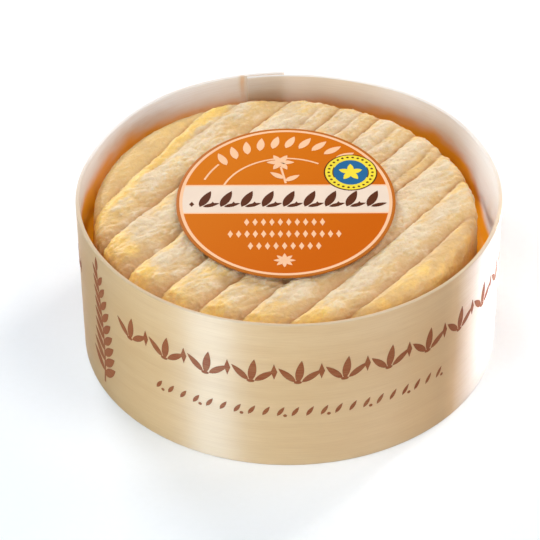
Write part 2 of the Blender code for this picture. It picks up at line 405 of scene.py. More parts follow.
def add_attribute(obj, name, values):
    """Stores a vector for each point of the mesh, for its material to read."""
    attribute = obj.data.attributes.new(name, "FLOAT_VECTOR", "POINT")
    attribute.data.foreach_set("vector", np.asarray(values, np.float32).ravel())


def add_primitive(operator, stretch=(1.0, 1.0, 1.0), **arguments):
    """Adds a primitive with nothing else selected, stretches it, settles its place and returns it."""
    bpy.ops.object.select_all(action="DESELECT")
    operator(**arguments)
    bpy.context.object.scale = stretch
    bpy.ops.object.transform_apply(location=True, rotation=True, scale=True)
    return bpy.context.object


def select_only(objects):
    bpy.ops.object.select_all(action="DESELECT")
    for obj in objects:
        obj.select_set(True)
    bpy.context.view_layer.objects.active = objects[0]


def apply_modifier(obj, kind, **values):
    """Adds a modifier with these settings and applies it."""
    modifier = obj.modifiers.new(kind.title(), kind)
    for name, value in values.items():
        setattr(modifier, name, value)
    select_only([obj])
    bpy.ops.object.modifier_apply(modifier=modifier.name)


def round_edges(obj, radius, segments, angle):
    """Rounds the edges that turn by more than this angle in degrees."""
    apply_modifier(
        obj, "BEVEL", width=radius, segments=segments, limit_method="ANGLE", angle_limit=math.radians(angle)
    )


def select_faces(obj, wanted):
    """Selects, in edit mode, the faces for which wanted is true."""
    bpy.ops.mesh.select_all(action="DESELECT")
    bpy.ops.object.mode_set(mode="OBJECT")
    for face in obj.data.polygons:
        face.select = wanted(face)
    bpy.ops.object.mode_set(mode="EDIT")
    bpy.ops.mesh.select_mode(type="FACE")


def add_oval(centre, half, height, vertices, rings):
    """A flat oval with rings inset from its edge, and their widths are in metres."""
    oval = add_primitive(
        bpy.ops.mesh.primitive_circle_add,
        stretch=(half[0] * MM, half[1] * MM, 1.0),
        vertices=vertices,
        radius=1.0,
        fill_type="NGON",
        location=(centre[0] * MM, centre[1] * MM, height * MM),
    )
    bpy.ops.object.mode_set(mode="EDIT")
    bpy.ops.mesh.select_mode(type="FACE")
    bpy.ops.mesh.select_all(action="SELECT")
    for width in rings:
        bpy.ops.mesh.inset(thickness=width)
    bpy.ops.object.mode_set(mode="OBJECT")
    return oval


def join(objects):
    select_only(objects)
    bpy.ops.object.join()
    return bpy.context.object


def finish_piece(obj, name, materials, replaced=(), smooth_angle=40.0):
    """Names a piece, settles its place and shading, gives it its finish and lets it ride with the box."""
    select_only([obj])
    bpy.ops.object.transform_apply(location=True, rotation=True, scale=True)
    bpy.ops.object.shade_smooth_by_angle(angle=math.radians(smooth_angle))
    obj.name = name
    obj.data.name = name
    indices = [face.material_index for face in obj.data.polygons]
    obj.data.materials.clear()
    for material in materials:
        obj.data.materials.append(material)
    obj.data.polygons.foreach_set("material_index", indices)
    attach(obj, "root")
    if replaced:
        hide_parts(*replaced)


def add_stroke(path, half_widths):
    """A thin flat shape of ink: a strip that follows a path in the plane, as wide as half_widths says."""
    path = np.asarray(path, float)
    steps = len(path) - 1
    half_widths = np.maximum(np.broadcast_to(half_widths, steps + 1), 0.03)
    heading = np.gradient(path, axis=0)
    heading /= np.linalg.norm(heading, axis=1)[:, None]
    obj = add_primitive(bpy.ops.mesh.primitive_grid_add, x_subdivisions=steps, y_subdivisions=2, size=1.0)
    # The grid is a metre wide, so in metres its points run from -0.5 to 0.5.
    shares = points_of(obj) * MM
    step = np.rint((shares[:, 0] + 0.5) * steps).astype(int)
    side = shares[:, 1] * 2 * half_widths[step]
    x = path[step, 0] - heading[step, 1] * side
    y = path[step, 1] + heading[step, 0] * side
    set_points(obj, np.column_stack((x, y, np.zeros_like(x))))
    apply_modifier(obj, "SOLIDIFY", thickness=INK * MM, offset=1.0)
    return obj


def leaf(length, half_width, steps=8, fullness=0.8):
    """A pointed leaf that starts at the origin and lies along X."""
    share = np.linspace(0.0, 1.0, steps + 1)
    path = np.column_stack((share * length, np.zeros_like(share)))
    return add_stroke(path, half_width * np.sin(np.pi * share ** 0.85) ** fullness)


def lozenge(length, half_width, steps=6):
    """A lozenge round the origin, long in X."""
    share = np.linspace(-1.0, 1.0, steps + 1)
    path = np.column_stack((share * length / 2, np.zeros_like(share)))
    return add_stroke(path, half_width * (1.0 - np.abs(share)))


def dot(half_length, half_width, steps=8):
    """An oval dot round the origin."""
    share = -np.cos(np.linspace(0.0, np.pi, steps + 1))
    path = np.column_stack((share * half_length, np.zeros_like(share)))
    return add_stroke(path, half_width * np.sqrt(np.clip(1.0 - share ** 2, 0.0, 1.0)))


def oval_arc(half_x, half_y, start, end, half_width, steps=40):
    """A line along an oval round the origin."""
    turn = np.radians(np.linspace(start, end, steps + 1))
    return add_stroke(np.column_stack((half_x * np.cos(turn), half_y * np.sin(turn))), half_width)


def set_out(pattern, places, lift=0.0):
    """Copies a shape to each place (x, y, turn, size), each copy with its own mesh, and removes the first.

    Neighbours lie at slightly different heights, because inks that cross at one height would show black.
    """
    copies = []
    for number, (x, y, turn, size) in enumerate(places):
        copy = pattern.copy()
        copy.data = pattern.data.copy()
        bpy.context.collection.objects.link(copy)
        height = lift + LAYER_STEP * (number % LAYERS)
        copy.data.transform(
            Matrix.Translation((x * MM, y * MM, height * MM))
            @ Matrix.Rotation(math.radians(turn), 4, "Z")
            @ Matrix.Diagonal((size, size, 1.0, 1.0))
        )
        copies.append(copy)
    bpy.data.objects.remove(pattern, do_unlink=True)
    return copies


def node(tree, kind, inputs=None, **values):
    """Adds a node with its settings, and gives each input a value or another node's output."""
    made = tree.nodes.new(kind)
    for name, value in values.items():
        setattr(made, name, value)
    open_inputs = [socket for socket in made.inputs if socket.enabled]
    for key, value in (inputs or {}).items():
        socket = open_inputs[key] if isinstance(key, int) else next(s for s in open_inputs if s.name == key)
        if isinstance(value, bpy.types.Node):
            value = next(output for output in value.outputs if output.enabled)
        if isinstance(value, bpy.types.NodeSocket):
            tree.links.new(value, socket)
        else:
            socket.default_value = value
    return made


def start_material(name):
    """An empty node material and its tree."""
    material = bpy.data.materials.new(name)
    material.use_nodes = True
    material.node_tree.nodes.clear()
    return material, material.node_tree


def noise_scale(*sizes):
    """The scale at which noise has blotches of these sizes in millimetres."""
    return tuple(1.0 / (size * MM) for size in sizes)


def veneer_material(name, follows_strip=True, stain_and_painted_light=False, ink=False):
    """Rotary-cut poplar veneer, dried and left bare: pale, silky, with long fine fibres round the box.

    Staining adds the damp stain inside, with painted shade and painted orange bounce light near the cheese,
    painted light on the paler inner face and the back rim, a painted highlight and painted shade on the
    outside, and the pale sawn edge, and ink covers the wood in brown.
    """
    look = bpy.context.scene.cheese_box.veneer
    material, tree = start_material(name)
    if follows_strip:
        place = node(tree, "ShaderNodeAttribute", attribute_name="grain").outputs["Vector"]
    else:
        place = node(tree, "ShaderNodeTexCoord").outputs["Object"]
    # Poplar fibres are 0.03 mm thick and don't show, so they are drawn as bundles of 0.25 mm.
    patterns = []
    for sizes, detail in (((9.0, 0.25, 0.5), 3.0), ((60.0, 3.2, 2.0), 3.0), ((7.0, 3.0, 2.0), 2.0)):
        sized = node(tree, "ShaderNodeMapping", {"Vector": place, "Scale": noise_scale(*sizes)})
        patterns.append(node(tree, "ShaderNodeTexNoise", {"Vector": sized, "Scale": 1.0, "Detail": detail}))
    fibres, figure, cloud = patterns
    fibre_share = node(tree, "ShaderNodeMapRange", {"Value": fibres, "From Min": 0.4, "From Max": 0.7})
    figure_share = node(tree, "ShaderNodeMapRange", {"Value": figure, "From Min": 0.35, "From Max": 0.7})
    bands = node(tree, "ShaderNodeMath", {0: figure_share, 1: 0.34, 2: 0.1}, operation="MULTIPLY_ADD")
    clouded = node(tree, "ShaderNodeMath", {0: cloud, 1: 0.3, 2: bands}, operation="MULTIPLY_ADD")
    darker = node(
        tree, "ShaderNodeMath", {0: fibre_share, 1: 0.3, 2: clouded}, operation="MULTIPLY_ADD", use_clamp=True
    )
    layers = [(darker, look.dark)]
    sheen = 0.3 if ink else 1.0
    if stain_and_painted_light:
        marks = node(tree, "ShaderNodeAttribute", attribute_name="place").outputs["Vector"]
        wetness_and_shade, pale_and_painted_light_value, sawn = node(tree, "ShaderNodeSeparateXYZ", {"Vector": marks}).outputs
        grain_free = node(tree, "ShaderNodeMapRange", {"Value": fibre_share, "To Min": 1.0, "To Max": 0.75})
        pale_and_painted_light = node(tree, "ShaderNodeMath", {0: pale_and_painted_light_value, 1: grain_free}, operation="MULTIPLY")
        # Above 0 it paints the pale inner face and painted light, below 0 painted shade on the outside.
        outer_shade_share = node(tree, "ShaderNodeMapRange", {"Value": pale_and_painted_light_value, "From Max": -1.0})
        layers += [(pale_and_painted_light, look.inside), (outer_shade_share, look.outer_painted_shade)]
        sheen = node(
            tree,
            "ShaderNodeMapRange",
            {"Value": pale_and_painted_light_value, "From Max": 0.12, "To Min": 1.0, "To Max": 0.25},
        )
        # The damp stain, with painted shade and painted orange bounce light near the cheese.
        ragged = node(tree, "ShaderNodeMath", {0: cloud, 1: 0.4, 2: wetness_and_shade}, operation="MULTIPLY_ADD")
        for start, end, colour in ((0.22, 0.8, look.stain_and_shade), (0.6, 1.2, look.damp_and_shade)):
            damp_and_shade = node(
                tree,
                "ShaderNodeMapRange",
                {"Value": ragged, "From Min": start, "From Max": end},
                interpolation_type="SMOOTHSTEP",
            )
            layers.append((damp_and_shade, colour))
        layers.append((sawn, look.cut))
    if ink:
        # The ink sinks in between the fibres, so their tops show through a little.
        cover = node(
            tree,
            "ShaderNodeMapRange",
            {"Value": fibres, "From Min": 0.42, "From Max": 0.66, "To Min": 1.0, "To Max": 0.85},
        )
        layers.append((cover, look.ink))
    wood = look.pale
    for share, colour in layers:
        wood = node(tree, "ShaderNodeMix", {"Factor": share, "A": wood, "B": colour}, data_type="RGBA")
    roughness = node(
        tree,
        "ShaderNodeMapRange",
        {"Value": fibres, "From Min": 0.35, "From Max": 0.7, "To Min": 0.5, "To Max": 0.62},
    )
    bump = node(tree, "ShaderNodeBump", {"Strength": 0.5, "Distance": 0.04 * MM, "Height": fibres})
    # The fibres spread a highlight up and down, so a lamp shows as an upright band of sheen. Wood's own
    # index is about 1.5, and bare veneer has a higher one here, for a band as strong as the real one.
    tangent = node(tree, "ShaderNodeTangent", direction_type="RADIAL", axis="Z")
    shader = node(
        tree,
        "ShaderNodeBsdfPrincipled",
        {
            "Base Color": wood,
            "Roughness": roughness,
            "IOR": 1.5 if ink else 1.9,
            "Specular IOR Level": sheen,
            "Anisotropic": 1.0,
            "Anisotropic Rotation": 0.25,
            "Tangent": tangent,
            "Normal": bump,
        },
    )
    if stain_and_painted_light:
        # Thin veneer lets some light through, so the inside glows where the outside is bright.
        glow = node(tree, "ShaderNodeMix", {"Factor": damp_and_shade, "A": look.glow, "B": look.damp_and_shade}, data_type="RGBA")
        through = node(tree, "ShaderNodeBsdfTranslucent", {"Color": glow})
        thin = node(tree, "ShaderNodeAttribute", attribute_name="thin").outputs["Fac"]
        shader = node(tree, "ShaderNodeMixShader", {0: thin, 1: shader, 2: through})
    node(tree, "ShaderNodeOutputMaterial", {"Surface": shader})
    return material


def rind_material():
    """Washed rind of a soft cheese, brushed with brine: moist and golden, with a dry bloom on its crests."""
    look = bpy.context.scene.cheese_box.rind
    material, tree = start_material("washed_cheese_rind")
    rind_marks = node(tree, "ShaderNodeAttribute", attribute_name="rind").outputs["Vector"]
    bare_marks = node(tree, "ShaderNodeAttribute", attribute_name="bare").outputs["Vector"]
    groove, flank, dust = node(tree, "ShaderNodeSeparateXYZ", {"Vector": rind_marks}).outputs
    golden, side, folds = node(tree, "ShaderNodeSeparateXYZ", {"Vector": bare_marks}).outputs

    place = node(tree, "ShaderNodeTexCoord").outputs["Object"]
    patterns = []
    for sizes, detail, turn in (
        ((1.0, 1.0, 1.0), 5.0, 0.0),
        ((4.0, 0.9, 1.6), 4.0, RIDGE_DIRECTION - 17.0),
        ((3.6, 2.6, 3.0), 4.0, RIDGE_DIRECTION),
        ((0.45, 0.45, 0.45), 3.0, 0.0),
    ):
        rotation = (0.0, 0.0, -math.radians(turn))
        turned = node(tree, "ShaderNodeMapping", {"Vector": place, "Rotation": rotation})
        sized = node(tree, "ShaderNodeMapping", {"Vector": turned, "Scale": noise_scale(*sizes)})
        patterns.append(node(tree, "ShaderNodeTexNoise", {"Vector": sized, "Scale": 1.0, "Detail": detail}))
    fuzz, streaks, blotches, grit = patterns

    uneven_gold = node(tree, "ShaderNodeMath", {0: blotches, 1: 1.3, 2: golden}, operation="MULTIPLY_ADD")
    gold_share = node(
        tree,
        "ShaderNodeMapRange",
        {"Value": uneven_gold, "From Min": 0.7, "From Max": 1.45},
        interpolation_type="SMOOTHSTEP",
    )
    dusty = dust
    for pattern, amount in ((fuzz, 0.9), (streaks, 0.9), (folds, 0.6)):
        dusty = node(tree, "ShaderNodeMath", {0: pattern, 1: amount, 2: dusty}, operation="MULTIPLY_ADD")
    bloom_share = node(
        tree,
        "ShaderNodeMapRange",
        {"Value": dusty, "From Min": 0.95, "From Max": 1.8, "To Max": 0.95},
        interpolation_type="SMOOTHSTEP",
    )
    # Painted shade: the hollows between the small folds are darker.
    painted_hollow_shade = node(
        tree, "ShaderNodeMapRange", {"Value": folds, "From Min": 0.0, "From Max": -0.4, "To Max": 0.35}
    )
    # Moulds on such a rind leave specks of 0.1 mm, drawn at 0.45 mm so that they show.
    speck_share = node(
        tree,
        "ShaderNodeMapRange",
        {"Value": grit, "From Min": 0.5, "From Max": 0.8, "To Max": 0.4},
        interpolation_type="SMOOTHSTEP",
    )
    # Layers: the flank is partly bare rind and partly painted shade, the hollows painted shade, and the
    # groove partly moist rind and partly painted shade in the crease.
    colour = look.base
    for share, over in (
        (flank, look.shade),
        (side, look.side),
        (gold_share, look.gold),
        (bloom_share, look.bloom),
        (painted_hollow_shade, look.shade),
        (groove, look.amber),
        (speck_share, look.shade),
    ):
        colour = node(tree, "ShaderNodeMix", {"Factor": share, "A": colour, "B": over}, data_type="RGBA")
    roughness = node(
        tree, "ShaderNodeMapRange", {"Value": bloom_share, "From Max": 1.0, "To Min": 0.5, "To Max": 0.8}
    )
    rough = node(tree, "ShaderNodeMath", {0: streaks, 1: 0.7, 2: fuzz}, operation="MULTIPLY_ADD")
    height = node(tree, "ShaderNodeMath", {0: grit, 1: 0.35, 2: rough}, operation="MULTIPLY_ADD")
    bump = node(tree, "ShaderNodeBump", {"Strength": 0.8, "Distance": 0.35 * MM, "Height": height})
    shader = node(
        tree,
        "ShaderNodeBsdfPrincipled",
        {
            "Base Color": colour,
            "Roughness": roughness,
            "IOR": 1.45,
            "Subsurface Weight": 0.4,
            "Subsurface Radius": (1.0, 0.6, 0.3),
            "Subsurface Scale": 1.2 * MM,
            "Normal": bump,
        },
    )
    node(tree, "ShaderNodeOutputMaterial", {"Surface": shader})
    return material


def print_material(name, ink, deep_ink=None):
    """Coated label paper, offset printed: smooth and even, with a soft sheen and a faint tooth."""
    material, tree = start_material(name)
    place = node(tree, "ShaderNodeTexCoord").outputs["Object"]
    # Paper fibres of 0.02 mm don't show, so the tooth is drawn at 0.25 mm.
    patterns = []
    for size in (0.25, 9.0):
        sized = node(tree, "ShaderNodeMapping", {"Vector": place, "Scale": noise_scale(size, size, size)})
        patterns.append(node(tree, "ShaderNodeTexNoise", {"Vector": sized, "Scale": 1.0, "Detail": 2.0}))
    tooth, cloud = patterns
    if deep_ink is None:
        deep_ink = tuple(channel * 0.93 for channel in ink[:3]) + (1.0,)
        share = node(tree, "ShaderNodeMapRange", {"Value": cloud, "From Min": 0.3, "From Max": 0.7})
    else:
        # The colour is lighter at the upper left and deeper at the lower right.
        rotation = (0.0, 0.0, math.radians(45.0))
        turned = node(tree, "ShaderNodeMapping", {"Vector": place, "Rotation": rotation})
        slope = node(tree, "ShaderNodeSeparateXYZ", {"Vector": turned})
        share = node(
            tree, "ShaderNodeMapRange", {"Value": slope, "From Min": -24.0 * MM, "From Max": 20.0 * MM}
        )
    colour = node(tree, "ShaderNodeMix", {"Factor": share, "A": ink, "B": deep_ink}, data_type="RGBA")
    bump = node(tree, "ShaderNodeBump", {"Strength": 0.25, "Distance": 0.01 * MM, "Height": tooth})
    roughness = node(
        tree,
        "ShaderNodeMapRange",
        {"Value": tooth, "From Min": 0.3, "From Max": 0.7, "To Min": 0.4, "To Max": 0.5},
    )
    shader = node(
        tree,
        "ShaderNodeBsdfPrincipled",
        {
            "Base Color": colour,
            "Roughness": roughness,
            "IOR": 1.48,
            "Specular IOR Level": 0.06,
            "Normal": bump,
        },
    )
    node(tree, "ShaderNodeOutputMaterial", {"Surface": shader})
    return material


def wire_material():
    """Galvanised steel wire, drawn and flattened: dull grey, with fine scratches along it."""
    material, tree = start_material("galvanised_steel_wire")
    place = node(tree, "ShaderNodeTexCoord").outputs["Object"]
    patterns = []
    for sizes in ((2.5, 2.5, 0.08), (0.5, 0.5, 0.5)):
        sized = node(tree, "ShaderNodeMapping", {"Vector": place, "Scale": noise_scale(*sizes)})
        patterns.append(node(tree, "ShaderNodeTexNoise", {"Vector": sized, "Scale": 1.0, "Detail": 2.0}))
    scratches, spangle = patterns
    colour = node(
        tree,
        "ShaderNodeMix",
        {"Factor": spangle, "A": (*srgb("#c9cacb"), 1.0), "B": (*srgb("#9b9c9e"), 1.0)},
        data_type="RGBA",
    )
    roughness = node(
        tree,
        "ShaderNodeMapRange",
        {"Value": scratches, "From Min": 0.3, "From Max": 0.7, "To Min": 0.3, "To Max": 0.48},
    )
    bump = node(tree, "ShaderNodeBump", {"Strength": 0.4, "Distance": 0.01 * MM, "Height": scratches})
    shader = node(
        tree,
        "ShaderNodeBsdfPrincipled",
        {"Base Color": colour, "Metallic": 1.0, "Roughness": roughness, "Normal": bump},
    )
    node(tree, "ShaderNodeOutputMaterial", {"Surface": shader})
    return material


class CHEESEBOX_OT_add_wall(bpy.types.Operator):
    """Add the wall of the box, one strip of veneer rolled round with its ends lapped"""

    bl_idname = "cheesebox.add_wall"
    bl_label = "Add Wall"

    def execute(self, context):
        look = context.scene.cheese_box.veneer
        wall = add_primitive(
            bpy.ops.mesh.primitive_grid_add,
            stretch=(STRIP_LENGTH * MM, WALL_HEIGHT * MM, 1.0),
            x_subdivisions=STRIP_STEPS,
            y_subdivisions=HEIGHT_STEPS,
            size=1.0,
            location=(0.0, WALL_HEIGHT * MM / 2, 0.0),
        )
        apply_modifier(wall, "SOLIDIFY", thickness=look.thickness, offset=-1.0)
        round_edges(wall, look.rounding, 3, 60)
        self.add_marks(wall, look.thickness / MM)

        flat = points_of(wall)
        along, up, _ = flat.T
        level = np.column_stack((along, up * 0, up * 0))
        dip = 0.5 - 0.5 * swell(level, (16.0, 1.0, 1.0), 1, octaves=3)
        flat[:, 1] -= dip * (look.dip / MM) * smoothstep(up, WALL_HEIGHT - 6.0, WALL_HEIGHT)
        set_points(wall, roll_round(flat))
        veneer = veneer_material("poplar_veneer", stain_and_painted_light=True)
        finish_piece(wall, "wall_veneer", [veneer], ["box_wall"])
        return {"FINISHED"}

    def add_marks(self, wall, thickness):
        """Stores grain, damp and painted shade, pale wood and painted light, sawn edges and thin places."""
        along, up, out = points_of(wall).T
        below_rim = WALL_HEIGHT - up
        front_angle = (along / STRIP_LENGTH + 0.5) * (360.0 + LAP) + OUTER_END - 270.0
        inside = np.clip(-out / thickness, 0.0, 1.0)
        # Partly a damp stain and partly painted shade with painted orange bounce light: the inside turns
        # darker and oranger below the rim towards the cheese.
        damp_start = DAMP_AND_SHADE_START + swellings_at(front_angle, DAMP_AND_SHADE_LOWER)
        damp_and_shade = inside * np.clip((below_rim - damp_start) / DAMP_AND_SHADE_DEPTH, 0.0, 1.0)
        damp_and_shade *= smoothstep(up, BASE_LOW.z, BASE_HIGH.z)
        # A painted shadow beside the strip's inner end, laid on with the damp.
        damp_and_shade = np.maximum(damp_and_shade, 0.6 * inside * hump(front_angle, *LAP_PAINTED_SHADOW))

        toward_front = smoothstep(np.cos(np.radians(front_angle)), -0.4, 0.4)
        rim = smoothstep(up, WALL_HEIGHT - SAWN_FROM, WALL_HEIGHT - SAWN_TO)
        end = smoothstep(np.abs(along), STRIP_LENGTH / 2 - SAWN_FROM, STRIP_LENGTH / 2 - SAWN_TO)
        sawn = np.maximum(rim * toward_front, 0.7 * end)
        # The inner face is paler, and painted light makes it paler still where the lamps fall, near the rim
        # and on the back rim.
        pale_and_painted_light = inside * (0.2 + swellings_at(front_angle, PAINTED_LIGHT_INSIDE))
        pale_and_painted_light *= 1.05 - 0.35 * smoothstep(below_rim, 0.5, 7.0)
        pale_and_painted_light = np.maximum(pale_and_painted_light, 0.9 * rim * (1.0 - toward_front))
        # Painted highlight on the right of the outside, painted shade on its left and in a narrow band.
        painted_highlight = smoothstep(front_angle, *PAINTED_HIGHLIGHT_FROM) - smoothstep(front_angle, *PAINTED_HIGHLIGHT_TO)
        outer_painted_shade = swellings_at(front_angle, PAINTED_SHADE_OUTSIDE)
        pale_and_painted_light += (1.0 - inside) * (1.0 - rim) * (0.8 * painted_highlight - outer_painted_shade)

        thin = TRANSLUCENCE + swellings_at(front_angle, THINNER)
        add_attribute(wall, "grain", np.column_stack((along, up, out)) * MM)
        add_attribute(wall, "place", np.column_stack((damp_and_shade, pale_and_painted_light, sawn)))
        add_attribute(wall, "thin", np.column_stack((thin, thin, thin)))


class CHEESEBOX_OT_finish_base(bpy.types.Operator):
    """Give the disc under the cheese its veneer finish"""

    bl_idname = "cheesebox.finish_base"
    bl_label = "Finish Base"

    def execute(self, context):
        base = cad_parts["box_base"]
        base.data.materials[0] = veneer_material("poplar_disc", follows_strip=False)
        return {"FINISHED"}


class CHEESEBOX_OT_print_wall(bpy.types.Operator):
    """Print a frieze, a border and a leafy sprig in brown on the outside of the wall"""

    bl_idname = "cheesebox.print_wall"
    bl_label = "Print Wall"

    def frieze(self):
        """Palmettes of three leaves with a lozenge between them, all round but for the sprig's place."""
        pitch = 10.6
        start = along_at(FRIEZE_START)
        centres = [start + pitch * number for number in (*range(-10, -2), *range(18))]
        upright = [(x, FRIEZE_HEIGHT - 3.1, 82.0, 1.0) for x in centres]
        left = [(x - 0.5, FRIEZE_HEIGHT - 2.9, 134.0, 0.86) for x in centres]
        right = [(x + 0.9, FRIEZE_HEIGHT - 2.9, 36.0, 0.86) for x in centres]
        between = [(x + pitch / 2, FRIEZE_HEIGHT, 90.0, 1.0) for x in centres]
        feet = [(x, FRIEZE_HEIGHT - 3.0, 0.0, 1.0) for x in centres]
        shapes = set_out(leaf(6.4, 0.95), upright + left + right)
        shapes += set_out(lozenge(4.4, 0.75), between, lift=0.022)
        return shapes + set_out(dot(0.9, 0.45), feet, lift=0.022)

    def border(self):
        """A row of small slanted leaves and dots."""
        pitch = 3.3
        start = along_at(BORDER_START)
        centres = [start + pitch * number for number in range(22)]
        leaves = [(x - 0.7, BORDER_HEIGHT - 1.3, 58.0, 1.0) for x in centres]
        dots = [(x + 1.1, BORDER_HEIGHT - 1.2, 0.0, 1.0) for x in centres[::3]]
        shapes = set_out(leaf(3.1, 0.5, steps=5), leaves)
        return shapes + set_out(dot(0.45, 0.42, steps=6), dots)

    def sprig(self):
        """A tall stem with leaves in pairs."""
        foot = along_at(SPRIG_AT)
        share = np.linspace(0.0, 1.0, 25)
        stem_x = foot + SPRIG_SWAY * np.sin(share * SPRIG_BENDS)
        stem_y = SPRIG_FOOT + SPRIG_HEIGHT * share
        shapes = [add_stroke(np.column_stack((stem_x, stem_y)), 0.34 - 0.16 * share)]
        leaves = []
        for number in range(9):
            up = 0.07 + 0.1 * number
            x = foot + SPRIG_SWAY * math.sin(up * SPRIG_BENDS)
            y = SPRIG_FOOT + SPRIG_HEIGHT * up
            size = 1.0 - 0.045 * number
            leaves += [(x, y, 42.0 + 2.0 * number, size), (x, y + 1.3, 138.0 - 2.0 * number, size)]
        leaves.append((foot - 0.86, 36.2, 88.0, 0.6))
        return shapes + set_out(leaf(7.0, 1.15), leaves, lift=0.006)

    def execute(self, context):
        ink = veneer_material("brown_ink_on_poplar", ink=True)
        for name, shapes in (("frieze", self.frieze()), ("border", self.border()), ("sprig", self.sprig())):
            printed = join(shapes)
            flat = points_of(printed)
            add_attribute(printed, "grain", flat * MM)
            set_points(printed, roll_round(flat + (0.0, 0.0, INK)))
            finish_piece(printed, f"wall_{name}", [ink])
        return {"FINISHED"}


class CHEESEBOX_OT_add_staples(bpy.types.Operator):
    """Add the two staples that hold the lap, whose points end in its inner layer"""

    bl_idname = "cheesebox.add_staples"
    bl_label = "Add Staples"

    def execute(self, context):
        wire = wire_material()
        height, thickness = STAPLE_WIRE
        reach = 2 * context.scene.cheese_box.veneer.thickness / MM + LAP_GAP - 0.3
        middle = along_at(STAPLE_ANGLE - 270.0)
        for name, centre_height in STAPLE_HEIGHTS:
            staple = add_primitive(
                bpy.ops.mesh.primitive_cube_add,
                stretch=(STAPLE_SPAN * MM, height * MM, thickness * MM),
                size=1.0,
            )
            bpy.ops.object.mode_set(mode="EDIT")
            for cut in (-STAPLE_SPAN / 2 + thickness, -1.6, 0.0, 1.6, STAPLE_SPAN / 2 - thickness):
                bpy.ops.mesh.select_all(action="SELECT")
                bpy.ops.mesh.bisect(plane_co=(cut * MM, 0.0, 0.0), plane_no=(1.0, 0.0, 0.0))
            leg = STAPLE_SPAN * MM / 2 - thickness * MM
            select_faces(staple, lambda face: face.normal.z < -0.9 and abs(face.center.x) > leg)
            bpy.ops.mesh.extrude_region_move(TRANSFORM_OT_translate={"value": (0.0, 0.0, -reach * MM)})
            bpy.ops.mesh.select_all(action="SELECT")
            bpy.ops.mesh.normals_make_consistent(inside=False)
            bpy.ops.object.mode_set(mode="OBJECT")
            round_edges(staple, 0.12 * MM, 2, 50)
            flat = points_of(staple) + (middle, centre_height, thickness / 2)
            set_points(staple, roll_round(flat))
            finish_piece(staple, f"{name}_wire", [wire], [name])
        return {"FINISHED"}


def cheese_profile():
    """Half of the cheese's section, from the middle of its top down to the middle of its bottom."""
    side_radius = CHEESE_RADIUS - SIDE_BULGE
    shoulder_height = CREST - SHOULDER_RADIUS
    heel_height = CHEESE_BOTTOM + HEEL_RADIUS
    # The label covers the middle of the top, so its rings are coarser.
    points = [(radius, CREST) for radius in np.arange(0.0, 22.5, 1.8)]
    points += [(radius, CREST) for radius in np.linspace(23.4, TOP_FLAT, 45)]
    for turn in np.linspace(0.0, math.pi / 2, 19)[1:]:
        radius = TOP_FLAT + SHOULDER_RADIUS * math.sin(turn)
        points.append((radius, shoulder_height + SHOULDER_RADIUS * math.cos(turn)))
    for share in np.linspace(0.0, 1.0, 19)[1:]:
        radius = side_radius + SIDE_BULGE * math.sin(math.pi * share)
        points.append((radius, shoulder_height + (heel_height - shoulder_height) * share))
    for turn in np.linspace(0.0, math.pi / 2, 7)[1:]:
        radius = side_radius - HEEL_RADIUS + HEEL_RADIUS * math.cos(turn)
        points.append((radius, heel_height - HEEL_RADIUS * math.sin(turn)))
    points += [(radius, CHEESE_BOTTOM) for radius in (30.0, 20.0, 10.0, 0.0)]
    return points


def turned_cheese():
    """The smooth cheese: its profile drawn point by point and spun about the box's axis."""
    profile = cheese_profile()
    cheese = add_primitive(
        bpy.ops.mesh.primitive_plane_add, size=MM, location=(profile[0][0] * MM, 0.0, profile[0][1] * MM)
    )
    bpy.ops.object.mode_set(mode="EDIT")
    bpy.ops.mesh.select_mode(type="VERT")
    bpy.ops.mesh.select_all(action="SELECT")
    bpy.ops.mesh.merge(type="CENTER")
    for (radius, height), (next_radius, next_height) in zip(profile, profile[1:]):
        step = ((next_radius - radius) * MM, 0.0, (next_height - height) * MM)
        bpy.ops.mesh.extrude_vertices_move(TRANSFORM_OT_translate={"value": step})
    bpy.ops.mesh.select_all(action="SELECT")
    bpy.ops.mesh.spin(steps=CHEESE_STEPS, angle=math.tau, center=(0.0, 0.0, 0.0), axis=(0.0, 0.0, 1.0))
    bpy.ops.mesh.select_all(action="SELECT")
    bpy.ops.mesh.remove_doubles(threshold=0.01 * MM)
    bpy.ops.mesh.normals_make_consistent(inside=False)
    bpy.ops.object.mode_set(mode="OBJECT")
    return cheese


def groove_depths(across, along):
    """Depth below the crests, and how near the bottom of a groove, at each place."""
    depth = np.zeros_like(across)
    nearness = np.zeros_like(across)
    for offset, lean, deepest, shaded, lit, start in GROOVES:
        distance = across - offset - lean * along
        width = np.where(distance > 0.0, lit, shaded)
        reach = smoothstep(along, start - GROOVE_FADE, start + GROOVE_FADE)
        depth += deepest * reach * np.exp(-((np.abs(distance) / width) ** GROOVE_SHARPNESS))
        crease = hump(distance, 0.0, np.where(distance > 0.0, *CREASE_WIDTHS))
        nearness = np.maximum(nearness, crease * reach * min(deepest / DEEPEST, 1.0))
    return depth, nearness


def roll_phase(across, along):
    """How far across its roll each place lies, from 0 just past a groove to 1 at the next, and which roll."""
    lines = [(offset, lean) for offset, lean, *_, start in GROOVES if start == WHOLE]
    phase = np.zeros_like(across)
    number = np.zeros_like(across)
    edges = [np.full_like(across, -BEYOND_ROLLS)] + [offset + lean * along for offset, lean in lines]
    edges.append(np.full_like(across, BEYOND_ROLLS))
    for index, (low, high) in enumerate(zip(edges, edges[1:])):
        here = (across >= low) & (across < high)
        phase = np.where(here, (across - low) / (high - low), phase)
        number = np.where(here, index, number)
    return phase, number


